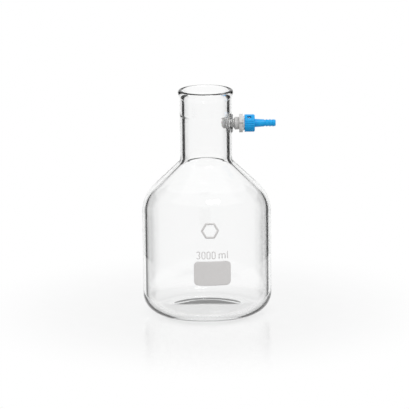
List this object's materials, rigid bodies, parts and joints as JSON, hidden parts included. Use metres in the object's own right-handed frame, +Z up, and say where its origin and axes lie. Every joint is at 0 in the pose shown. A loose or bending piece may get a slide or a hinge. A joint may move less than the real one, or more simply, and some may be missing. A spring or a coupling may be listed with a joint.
{
  "type": "buchner flask",
  "caption": "Thick-walled glass filter flask with a beaded mouth and a side socket that holds a rubber-bushed, screwed and barbed hose connection.",
  "frame": {"origin": "centre of the resting ring under the bottom, on the flask's axis", "axes": "+Z up the flask's axis and out of the mouth, +X along the side arm towards the hose, -Y towards the front with the writing patch"},
  "size_m": [0.1766, 0.1702, 0.298],
  "materials": {
    "flask_glass": "fire-polished clear borosilicate glass, smooth inside and out",
    "enamel": "fired pale grey enamel with a finely matt surface that takes pencil",
    "bush_rubber": "moulded grey rubber, satin",
    "white_plastic": "moulded off-white plastic, satin",
    "washer_plastic": "grey plastic washer, satin",
    "grey_plastic": "moulded light grey plastic, satin",
    "gasket_rubber": "flat black rubber gasket",
    "nozzle_plastic": "moulded light blue plastic, half gloss",
    "cap_plastic": "moulded light blue plastic with a fine grain, half gloss"
  },
  "bodies": {
    "flask": {"glass_flask": "flask_glass", "writing_patch": "enamel", "sealing_bush": "bush_rubber", "coupling_body": "white_plastic"},
    "washer": {"thrust_washer": "washer_plastic"},
    "tension_nut": {"tension_nut": "grey_plastic"},
    "gasket": {"nozzle_gasket": "gasket_rubber"},
    "nozzle": {"hose_nozzle": "nozzle_plastic"},
    "union_nut": {"union_nut": "cap_plastic"}
  },
  "joints": [
    {"name": "washer_slide", "type": "slide", "parent": "flask", "child": "washer", "axis": [1, 0, 0], "range_m": [0, 0.0005]},
    {"name": "tension_nut_turn", "type": "hinge", "parent": "washer", "child": "tension_nut", "pos_m": [0.0438, 0, 0.2527], "axis": [1, 0, 0], "range_deg": [0, 120.1]},
    {"name": "nozzle_slide", "type": "slide", "parent": "flask", "child": "gasket", "axis": [1, 0, 0], "range_m": [0, 0.0075]},
    {"name": "nozzle_swivel", "type": "hinge", "parent": "gasket", "child": "nozzle", "pos_m": [0.062, 0, 0.2527], "axis": [1, 0, 0], "continuous": true},
    {"name": "union_nut_turn", "type": "hinge", "parent": "gasket", "child": "union_nut", "pos_m": [0.062, 0, 0.2527], "axis": [1, 0, 0], "range_deg": [0, 900.5]}
  ],
  "couplings": [
    {"joint": "tension_nut_turn", "follows": "washer_slide", "rad_per_m": 4188.8},
    {"joint": "union_nut_turn", "follows": "nozzle_slide", "rad_per_m": 2094.4}
  ]
}
